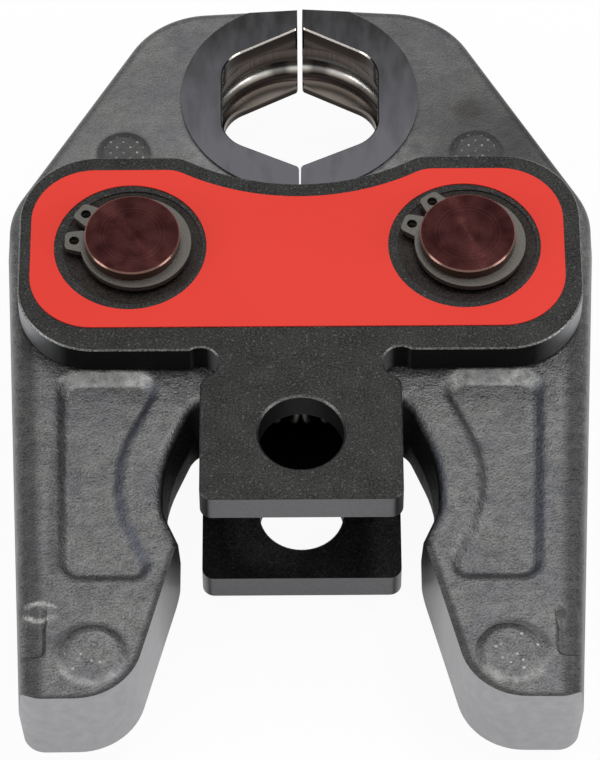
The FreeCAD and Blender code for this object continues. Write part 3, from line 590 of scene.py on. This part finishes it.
cam_inner_x = 0.029         # inside this, painted shade darkens the cam face towards its crest
square_wall = add_node(tree, "ShaderNodeMath", {0: lean.outputs[0], 1: 0.02}, operation="LESS_THAN")
cut_skin = add_node(tree, "ShaderNodeMix", {0: mottle.outputs["Fac"], 6: hex_colour("8E8E91"),
                                            7: hex_colour("ACACAE")}, data_type="RGBA")
cam_shade = add_node(tree, "ShaderNodeMapRange", {"Value": axes.outputs["Y"], "From Min": -0.029,
                                                 "From Max": -0.018, "To Max": 0.85})
inboard = add_node(tree, "ShaderNodeMath", {0: side_x.outputs[0], 1: cam_inner_x}, operation="LESS_THAN")
cam_shade = add_node(tree, "ShaderNodeMath", {0: cam_shade.outputs[0], 1: inboard.outputs[0]},
                    operation="MULTIPLY")
cut_skin = add_node(tree, "ShaderNodeMix", {0: cam_shade.outputs[0], 6: cut_skin.outputs[2],
                                            7: hex_colour("2E2E30")}, data_type="RGBA")
skin = add_node(tree, "ShaderNodeMix", {0: square_wall.outputs[0], 6: forged_skin.outputs[2],
                                        7: cut_skin.outputs[2]}, data_type="RGBA")

collar_z = 0.0087           # just under the collar's face
wipe_width = 0.0022
wipe_length = 0.007
above_forging = add_node(tree, "ShaderNodeMath", {0: height_z.outputs[0], 1: collar_z},
                         operation="GREATER_THAN")
near_press = add_node(tree, "ShaderNodeMath", {0: from_press.outputs["Value"], 1: collar_r},
                      operation="LESS_THAN")
on_collar = add_node(tree, "ShaderNodeMath", {0: above_forging.outputs[0], 1: near_press.outputs[0]},
                     operation="MULTIPLY")
drawn = add_node(tree, "ShaderNodeMapping", {"Vector": place, "Scale": (1 / wipe_width, 1 / wipe_length,
                                                                        1 / wipe_width)})
wipe = add_node(tree, "ShaderNodeTexNoise", {"Vector": drawn.outputs[0], "Scale": 1.0, "Detail": 4.0})
# Painted reflection: the collar's face is darker at its far side and lighter and bluer towards the tail, with
# wipe marks over it.
collar_sheen_and_wipe = add_node(tree, "ShaderNodeMapRange", {"Value": from_y.outputs[0], "From Min": 0.017,
                                              "From Max": -0.012})
collar_sheen_and_wipe = add_node(tree, "ShaderNodeMath", {0: wipe.outputs["Fac"], 1: 1.1, 2: collar_sheen_and_wipe.outputs[0]},
                 operation="MULTIPLY_ADD")
share = add_node(tree, "ShaderNodeMapRange", {"Value": collar_sheen_and_wipe.outputs[0], "From Min": 0.4, "From Max": 1.55})
collar_skin = add_node(tree, "ShaderNodeMix", {0: share.outputs[0], 6: hex_colour("373737"),
                                               7: hex_colour("6C6C71")}, data_type="RGBA")
skin = add_node(tree, "ShaderNodeMix", {0: on_collar.outputs[0], 6: skin.outputs[2],
                                        7: collar_skin.outputs[2]}, data_type="RGBA")

# The press contour is painted darker and brighter in bands of reflection and highlight, each with its height
# and colour, from the lower rim up.
contour_r = 0.0171          # past the contour's widest point
bore_low = -0.00915
bore_high = 0.00915
rim_z = 0.00891
groove_span = (-0.0031, 0.00095)
ribs_span = (0.0033, 0.0024)
reflection_bands = (
    (-0.00915, "2A2320"), (-0.00800, "2C2520"), (-0.00775, "443B33"), (-0.00740, "8A827A"),
    (-0.00700, "7A736C"), (-0.00674, "55504A"), (-0.00650, "433D37"), (-0.00610, "6E645D"),
    (-0.00580, "695F58"), (-0.00535, "5A4F49"), (-0.00490, "2F2623"), (-0.00415, "2F2623"),
    (-0.00390, "5E564F"), (-0.00368, "A8A198"), (-0.00335, "F4F2EC"), (-0.00278, "F4F2EC"),
    (-0.00256, "8A847C"), (-0.00215, "463E38"), (0.00090, "433A34"), (0.00200, "584E48"),
    (0.00280, "5C524C"), (0.00310, "332B26"), (0.00400, "4C443E"), (0.00450, "2E2621"),
    (0.00500, "4A423C"), (0.00600, "524943"), (0.00660, "352C27"), (0.00730, "2A221D"),
    (0.00860, "241D19"), (0.00890, "5A524C"), (0.00892, "C9C2BC"), (0.00915, "CFC8C2"),
)
inside = add_node(tree, "ShaderNodeMath", {0: from_press.outputs["Value"], 1: contour_r},
                  operation="LESS_THAN")
not_flat = add_node(tree, "ShaderNodeMath", {0: lean.outputs[0], 1: 0.95}, operation="LESS_THAN")
in_bore = add_node(tree, "ShaderNodeMath", {0: inside.outputs[0], 1: not_flat.outputs[0]},
                   operation="MULTIPLY")
faces_split = add_node(tree, "ShaderNodeMath", {0: sideways.outputs[0], 1: 0.99}, operation="GREATER_THAN")
by_split = add_node(tree, "ShaderNodeMath", {0: side_x.outputs[0], 1: 0.002}, operation="LESS_THAN")
on_split = add_node(tree, "ShaderNodeMath", {0: faces_split.outputs[0], 1: by_split.outputs[0]},
                    operation="MULTIPLY")
in_bore = add_node(tree, "ShaderNodeMath", {0: in_bore.outputs[0], 1: on_split.outputs[0]},
                   operation="SUBTRACT", use_clamp=True)
depth = add_node(tree, "ShaderNodeMapRange", {"Value": axes.outputs["Z"], "From Min": bore_low,
                                              "From Max": bore_high})
bore_reflection_tone = add_node(tree, "ShaderNodeValToRGB", {"Fac": depth.outputs[0]})
stops = bore_reflection_tone.color_ramp.elements
stops[0].color = hex_colour(reflection_bands[0][1])
stops[1].color = hex_colour(reflection_bands[-1][1])
for height, code in reflection_bands[1:-1]:
    stops.new((height - bore_low) / (bore_high - bore_low)).color = hex_colour(code)
around = add_node(tree, "ShaderNodeMath", {0: axes.outputs["X"], 1: from_y.outputs[0]}, operation="ARCTAN2")
rib_pitch = 0.0004          # scratches across the turned wall
turned_r = 0.015
ribs = add_node(tree, "ShaderNodeTexNoise", {"W": around.outputs[0], "Scale": turned_r / rib_pitch,
                                             "Detail": 2.0}, noise_dimensions="1D")
rib_tone = add_node(tree, "ShaderNodeMapRange", {"Value": ribs.outputs["Fac"], "From Min": 0.3,
                                                 "From Max": 0.7, "To Min": 0.75, "To Max": 1.25})
ribbed = add_node(tree, "ShaderNodeMath", {0: axes.outputs["Z"], 1: ribs_span[0], 2: ribs_span[1]},
                  operation="COMPARE")
rib_tone = add_node(tree, "ShaderNodeMix", {0: ribbed.outputs[0], 2: 1.0, 3: rib_tone.outputs[0]})

# The groove's painted highlight is brighter and dimmer round the bore, given by degrees from its far side.
turn_share = add_node(tree, "ShaderNodeMath", {0: around.outputs[0]}, operation="ABSOLUTE")
turn_share = add_node(tree, "ShaderNodeMath", {0: turn_share.outputs[0], 1: math.pi}, operation="DIVIDE")
groove_highlight = add_node(tree, "ShaderNodeValToRGB", {"Fac": turn_share.outputs[0]})
stops = groove_highlight.color_ramp.elements
stops[0].color = (1.0, 1.0, 1.0, 1.0)
stops[1].color = (0.6, 0.6, 0.6, 1.0)
for degrees, grey in ((5, 0.9), (9, 0.3), (16, 0.35), (21, 1.0), (33, 1.0), (42, 0.4), (90, 0.3), (120, 0.5)):
    stops.new(degrees / 180).color = (grey, grey, grey, 1.0)
in_groove = add_node(tree, "ShaderNodeMath", {0: axes.outputs["Z"], 1: groove_span[0], 2: groove_span[1]},
                     operation="COMPARE")
groove_highlight = add_node(tree, "ShaderNodeMix", {0: in_groove.outputs[0], 2: 1.0, 3: groove_highlight.outputs["Color"]})
rib_tone = add_node(tree, "ShaderNodeMath", {0: rib_tone.outputs[0], 1: groove_highlight.outputs[0]},
                    operation="MULTIPLY")
bore_skin = add_node(tree, "ShaderNodeVectorMath", {0: bore_reflection_tone.outputs["Color"], 3: rib_tone.outputs[0]},
                     operation="SCALE")
# Painted shade darkens the rims' broken corners, except where they face the tail and keep their painted
# highlight.
on_rim = add_node(tree, "ShaderNodeMath", {0: height_z.outputs[0], 1: rim_z}, operation="GREATER_THAN")
rim_shade = add_node(tree, "ShaderNodeMapRange", {"Value": facing.outputs["Y"], "From Min": -0.6,
                                                 "From Max": -0.42})
rim_shade = add_node(tree, "ShaderNodeMath", {0: rim_shade.outputs[0], 1: on_rim.outputs[0]},
                    operation="MULTIPLY")
bore_skin = add_node(tree, "ShaderNodeMix", {0: rim_shade.outputs[0], 6: bore_skin.outputs[0],
                                             7: hex_colour("3A3735")}, data_type="RGBA")
skin = add_node(tree, "ShaderNodeMix", {0: in_bore.outputs[0], 6: skin.outputs[2], 7: bore_skin.outputs[2]},
                data_type="RGBA")

smooth = add_node(tree, "ShaderNodeMath", {0: square_wall.outputs[0], 1: on_collar.outputs[0]},
                  operation="MAXIMUM")
smooth = add_node(tree, "ShaderNodeMath", {0: smooth.outputs[0], 1: in_bore.outputs[0]}, operation="MAXIMUM")
forged_rough = add_node(tree, "ShaderNodeMapRange", {"Value": grit.outputs["Fac"], "From Min": 0.3,
                                                     "From Max": 0.7, "To Min": 0.38, "To Max": 0.6})
rough = add_node(tree, "ShaderNodeMix", {0: smooth.outputs[0], 2: forged_rough.outputs[0], 3: 0.36})
rough = add_node(tree, "ShaderNodeMix", {0: in_bore.outputs[0], 2: rough.outputs[0], 3: 0.24})
blasted = add_node(tree, "ShaderNodeMapRange", {"Value": smooth.outputs[0], "To Min": 1.0, "To Max": 0.05})
pitted = add_node(tree, "ShaderNodeMath", {0: mottle.outputs["Fac"], 1: 1.8, 2: grit.outputs["Fac"]},
                  operation="MULTIPLY_ADD")
gentle = add_node(tree, "ShaderNodeMapRange", {"Value": axes.outputs["Y"], "From Min": nose_root_y,
                                               "From Max": nose_y, "To Min": 1.0, "To Max": 0.45})
blasted = add_node(tree, "ShaderNodeMath", {0: blasted.outputs[0], 1: gentle.outputs[0]},
                   operation="MULTIPLY")
height = add_node(tree, "ShaderNodeMath", {0: pitted.outputs[0], 1: blasted.outputs[0]}, operation="MULTIPLY")
relief = add_node(tree, "ShaderNodeBump", {"Height": height.outputs[0], "Strength": 0.75, "Distance": 0.0002})
finish_metal(tree, skin.outputs[2], rough.outputs[0], relief.outputs[0])
dress("left_jaw", forged)
dress("right_jaw", forged)


# Return spring: one compression spring of round wire between the halves, seated in a pocket of each.
# It is drawn as two half springs that meet in the middle.
spring_y = 0.016
coil_r = 0.003
wire_r = 0.0006
coils = 4
steps = 40
spring_low, spring_high = (corner[0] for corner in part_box("return_spring"))
for side, body in ((-1, "left_half"), (1, "right_half")):
    half_length = (spring_high - spring_low) / 2 - wire_r
    shape = bmesh.new()
    start = Matrix.Translation(((spring_low + spring_high) / 2, spring_y, coil_r))
    bmesh.ops.create_circle(shape, cap_ends=True, radius=wire_r, segments=12,
                            matrix=start @ Matrix.Rotation(math.pi / 2, 4, "X"))
    bmesh.ops.spin(shape, geom=shape.verts[:] + shape.edges[:] + shape.faces[:], cent=(0, spring_y, 0),
                   axis=(1, 0, 0), dvec=(side * half_length / (coils * steps), 0, 0),
                   angle=2 * math.pi * coils, steps=coils * steps, use_merge=False)
    bmesh.ops.recalc_face_normals(shape, faces=shape.faces[:])
    for face in shape.faces:
        face.smooth = True
    mesh = bpy.data.meshes.new("return_spring_" + ("left" if side < 0 else "right"))
    shape.to_mesh(mesh)
    shape.free()
    mesh.materials.append(phosphated)
    spring = bpy.data.objects.new(mesh.name, mesh)
    scene.collection.objects.link(spring)
    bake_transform(spring)
    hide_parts("return_spring")


# Studio: a white table under the pins' ends, a soft sky with a darker belt above the horizon that draws
# the forged edges, a softbox at each side and a small lamp overhead for the streak on the pins.
table_z = cad_box[0][2]
table_seen = 0.94           # how far the table glows white to the camera, and in what mirrors it
table_mirrored = 0.5
shape = bmesh.new()
bmesh.ops.create_grid(shape, x_segments=1, y_segments=1, size=3.0, matrix=Matrix.Translation((0, 0, table_z)))
mesh = bpy.data.meshes.new("white_table")
shape.to_mesh(mesh)
shape.free()
table = bpy.data.objects.new("white_table", mesh)
scene.collection.objects.link(table)
white_table = bpy.data.materials.new("white_table")
white_table.use_nodes = True
tree = white_table.node_tree
tree.nodes.clear()
ray = add_node(tree, "ShaderNodeLightPath")
mirrored = add_node(tree, "ShaderNodeMath", {0: ray.outputs["Is Glossy Ray"],
                                             1: ray.outputs["Is Transmission Ray"]}, operation="MAXIMUM")
mirrored = add_node(tree, "ShaderNodeMath", {0: mirrored.outputs[0], 1: table_mirrored}, operation="MULTIPLY")
seen = add_node(tree, "ShaderNodeMath", {0: ray.outputs["Is Camera Ray"], 1: table_seen},
                operation="MULTIPLY")
share = add_node(tree, "ShaderNodeMath", {0: seen.outputs[0], 1: mirrored.outputs[0]}, operation="MAXIMUM")
paint = add_node(tree, "ShaderNodeBsdfDiffuse", {"Color": (0.92, 0.92, 0.92, 1.0)})
glow = add_node(tree, "ShaderNodeEmission", {"Color": (1.0, 1.0, 1.0, 1.0), "Strength": 1.0})
both = add_node(tree, "ShaderNodeMixShader", {0: share.outputs[0], 1: paint.outputs[0], 2: glow.outputs[0]})
add_node(tree, "ShaderNodeOutputMaterial", {"Surface": both.outputs[0]})
mesh.materials.append(white_table)

world = bpy.data.worlds.new("studio")
world.use_nodes = True
scene.world = world
tree = world.node_tree
tree.nodes.clear()
direction = add_node(tree, "ShaderNodeTexCoord").outputs["Generated"]
rise = add_node(tree, "ShaderNodeSeparateXYZ", {0: direction})
sky_light = add_node(tree, "ShaderNodeMapRange", {"Value": rise.outputs["Z"], "From Min": 0.3,
                                                  "From Max": 0.85, "To Min": 0.15, "To Max": 1.0},
                     interpolation_type="SMOOTHSTEP")
low = add_node(tree, "ShaderNodeMapRange", {"Value": rise.outputs["Z"], "From Min": 0.05, "From Max": 0.16,
                                            "To Min": 1.0, "To Max": 0.0})
strength = add_node(tree, "ShaderNodeMix", {0: low.outputs[0], 2: sky_light.outputs[0], 3: 1.0})
sky = add_node(tree, "ShaderNodeBackground", {"Color": (1.0, 1.0, 1.0, 1.0), "Strength": strength.outputs[0]})
add_node(tree, "ShaderNodeOutputWorld", {"Surface": sky.outputs[0]})

lamp_distance = 0.8
for name, direction, width, power in (
    ("softbox_left", (-0.87, -0.28, 0.38), 0.35, 1.5),
    ("softbox_right", (0.87, -0.28, 0.38), 0.35, 1.5),
    ("lamp_overhead", (0.258, 0.162, 0.952), 0.12, 1.1),
):
    light = bpy.data.lights.new(name, "AREA")
    light.size = width
    light.energy = power
    lamp = bpy.data.objects.new(name, light)
    lamp.location = Vector(direction).normalized() * lamp_distance
    lamp.rotation_euler = Vector(direction).to_track_quat("Z", "Y").to_euler()
    scene.collection.objects.link(lamp)

scene.view_settings.view_transform = "Standard"
